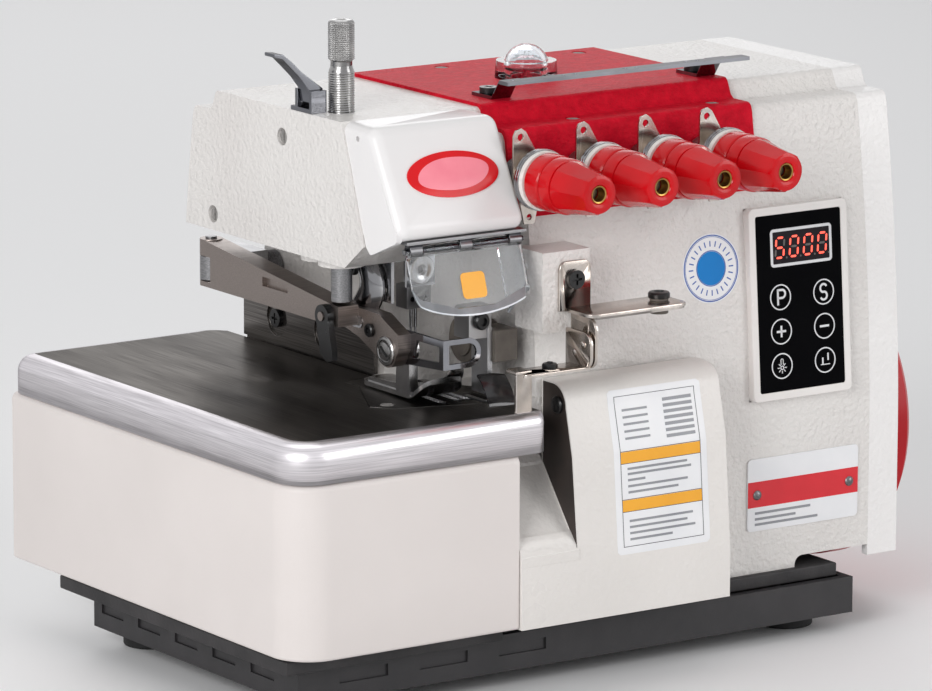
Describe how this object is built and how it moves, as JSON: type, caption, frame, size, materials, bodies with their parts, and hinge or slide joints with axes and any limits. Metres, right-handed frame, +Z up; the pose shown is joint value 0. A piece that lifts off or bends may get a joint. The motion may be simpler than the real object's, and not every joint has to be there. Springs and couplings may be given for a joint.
{
  "type": "overlock sewing machine",
  "caption": "Industrial overlock sewing machine head with cloth plate, presser arm, tension units, front cover, control panel and handwheel.",
  "frame": {"origin": "middle of the footprint, on the surface under the rubber feet", "axes": "+X along the arm to the handwheel, +Y to the back, +Z up"},
  "size_m": [0.3495, 0.2546, 0.281],
  "materials": {
    "cast_paint": "orange-peel",
    "cover_paint": "satin",
    "red_paint": "speckled",
    "red_plastic": "gloss",
    "white_plastic": "gloss",
    "clear_plastic": "clear gloss",
    "black_plastic": "gloss",
    "label_metal": "printed",
    "brushed": "brushed",
    "chrome": "polished",
    "steel": "ground",
    "dark_steel": "blackened",
    "black_screw": "blackened",
    "iron": "rough",
    "dark_plastic": "matte",
    "bronze": "satin",
    "rubber": "matte",
    "felt": "felt"
  },
  "bodies": {
    "frame": {"rubber_feet": "rubber", "oil_pan": "dark_plastic", "base_plate": "iron", "machine_frame": "cast_paint", "end_cover": "cast_paint", "head_housing": "cast_paint", "head_cover": "white_plastic", "head_badge": "red_plastic", "arm_top_cover": "red_paint", "black_screws": "black_screw", "steel_screws": "steel", "sight_dome": "clear_plastic", "thread_guide_bar": "chrome", "tension_studs": "steel", "tension_guides": "chrome", "tension_discs": "chrome", "felt_washers": "felt", "panel_frame": "white_plastic", "panel_face": "black_plastic", "nameplate": "label_metal", "nameplate_rivets": "steel", "motor_stator": "iron", "bearing_bushes": "bronze", "throat_plate": "brushed", "lower_knife": "steel", "pivot_pins": "dark_steel", "lever_bracket": "dark_steel", "take_up_guard": "chrome", "visor_rail": "dark_steel", "guide_bracket": "chrome", "column_guard": "brushed"},
    "shaft": {"main_shaft": "steel", "motor_rotor": "steel", "handwheel": "red_plastic"},
    "needle_bar": {"needle_bar": "chrome", "needle_clamp": "dark_steel", "needles": "chrome"},
    "upper_looper": {"upper_looper": "steel"},
    "lower_looper": {"lower_looper": "steel"},
    "main_feed": {"main_feed_dog": "steel"},
    "differential_feed": {"differential_feed_dog": "steel"},
    "knife": {"upper_knife": "steel", "knife_arm": "dark_steel"},
    "pivot_block": {"arm_pivot_block": "steel"},
    "presser_arm": {"presser_arm": "steel", "finger_guard": "chrome"},
    "lock_lever": {"arm_lock_lever": "black_plastic"},
    "presser_foot": {"presser_foot": "chrome"},
    "plunger": {"presser_plunger": "steel"},
    "pressure_screw": {"pressure_screw": "chrome"},
    "release_lever": {"release_lever": "dark_steel"},
    "tension_cap_1": {"tension_cap_1": "red_plastic"},
    "tension_cap_2": {"tension_cap_2": "red_plastic"},
    "tension_cap_3": {"tension_cap_3": "red_plastic"},
    "tension_cap_4": {"tension_cap_4": "red_plastic"},
    "visor": {"visor": "clear_plastic"},
    "guide_arm": {"guide_arm": "chrome"},
    "cloth_plate": {"cloth_plate": "brushed", "plate_cover": "cover_paint"},
    "front_cover": {"front_cover": "cast_paint"}
  },
  "joints": [
    {"name": "shaft_spin", "type": "hinge", "parent": "frame", "child": "shaft", "pos_m": [0, 0, 0.081], "axis": [1, 0, 0], "continuous": true},
    {"name": "needle_bar_slide", "type": "slide", "parent": "frame", "child": "needle_bar", "axis": [0, 0, -1], "range_m": [0, 0.024]},
    {"name": "upper_looper_rock", "type": "hinge", "parent": "frame", "child": "upper_looper", "pos_m": [-0.03, 0, 0.072], "axis": [0, -1, 0], "range_deg": [0, 8]},
    {"name": "lower_looper_rock", "type": "hinge", "parent": "frame", "child": "lower_looper", "pos_m": [-0.084, 0, 0.072], "axis": [0, 1, 0], "range_deg": [0, 10]},
    {"name": "main_feed_slide", "type": "slide", "parent": "frame", "child": "main_feed", "axis": [0, 1, 0], "range_m": [0, 0.002]},
    {"name": "differential_feed_slide", "type": "slide", "parent": "frame", "child": "differential_feed", "axis": [0, 1, 0], "range_m": [0, 0.002]},
    {"name": "knife_rock", "type": "hinge", "parent": "frame", "child": "knife", "pos_m": [0, -0.046, 0.143], "axis": [1, 0, 0], "range_deg": [0, 8]},
    {"name": "presser_lift", "type": "hinge", "parent": "frame", "child": "pivot_block", "pos_m": [0, 0.066, 0.159], "axis": [-1, 0, 0], "range_deg": [0, 3.2]},
    {"name": "presser_swing", "type": "hinge", "parent": "pivot_block", "child": "presser_arm", "pos_m": [-0.0908, 0.077, 0], "axis": [0, 0, 1], "range_deg": [-60, 0]},
    {"name": "foot_tilt", "type": "hinge", "parent": "presser_arm", "child": "presser_foot", "pos_m": [0, -0.053, 0.144], "axis": [1, 0, 0], "range_deg": [0, 5]},
    {"name": "lock_lever_turn", "type": "hinge", "parent": "presser_arm", "child": "lock_lever", "pos_m": [-0.098, -0.0243, 0.1555], "axis": [1, 0, 0], "range_deg": [0, 30]},
    {"name": "plunger_slide", "type": "slide", "parent": "frame", "child": "plunger", "axis": [0, 0, 1], "range_m": [0, 0.0053]},
    {"name": "pressure_screw_turn", "type": "hinge", "parent": "frame", "child": "pressure_screw", "pos_m": [-0.0908, -0.0263, 0.25], "axis": [0, 0, 1], "continuous": true},
    {"name": "release_lever_turn", "type": "hinge", "parent": "frame", "child": "release_lever", "pos_m": [-0.1005, -0.019, 0.2485], "axis": [0, 1, 0], "range_deg": [-25, 0], "stiffness_Nm_per_rad": 0.05, "springref_deg": 17.19},
    {"name": "tension_cap_1_turn", "type": "hinge", "parent": "frame", "child": "tension_cap_1", "pos_m": [-0.0335, -0.11, 0.217], "axis": [0, -1, 0], "continuous": true},
    {"name": "tension_cap_2_turn", "type": "hinge", "parent": "frame", "child": "tension_cap_2", "pos_m": [-0.0015, -0.11, 0.217], "axis": [0, -1, 0], "continuous": true},
    {"name": "tension_cap_3_turn", "type": "hinge", "parent": "frame", "child": "tension_cap_3", "pos_m": [0.0305, -0.11, 0.217], "axis": [0, -1, 0], "continuous": true},
    {"name": "tension_cap_4_turn", "type": "hinge", "parent": "frame", "child": "tension_cap_4", "pos_m": [0.0625, -0.11, 0.217], "axis": [0, -1, 0], "continuous": true},
    {"name": "visor_flip", "type": "hinge", "parent": "frame", "child": "visor", "pos_m": [0, -0.086, 0.1925], "axis": [1, 0, 0], "range_deg": [-85, 0]},
    {"name": "guide_swing", "type": "hinge", "parent": "frame", "child": "guide_arm", "pos_m": [0.0199, -0.1005, 0], "axis": [0, 0, 1], "range_deg": [0, 90]},
    {"name": "cloth_plate_swing", "type": "hinge", "parent": "frame", "child": "cloth_plate", "pos_m": [-0.0955, 0.1144, 0], "axis": [0, 0, 1], "range_deg": [-75, 0]},
    {"name": "front_cover_open", "type": "hinge", "parent": "frame", "child": "front_cover", "pos_m": [0, -0.097, 0.037], "axis": [1, 0, 0], "range_deg": [0, 80]}
  ],
  "couplings": [
    {"joint": "upper_looper_rock", "follows": "needle_bar_slide", "rad_per_m": 5.81},
    {"joint": "lower_looper_rock", "follows": "needle_bar_slide", "rad_per_m": 7.27},
    {"joint": "main_feed_slide", "follows": "needle_bar_slide", "ratio": 0.0833},
    {"joint": "differential_feed_slide", "follows": "needle_bar_slide", "ratio": 0.0833},
    {"joint": "knife_rock", "follows": "needle_bar_slide", "rad_per_m": 5.81},
    {"joint": "plunger_slide", "follows": "presser_lift", "m_per_rad": 0.0923}
  ]
}
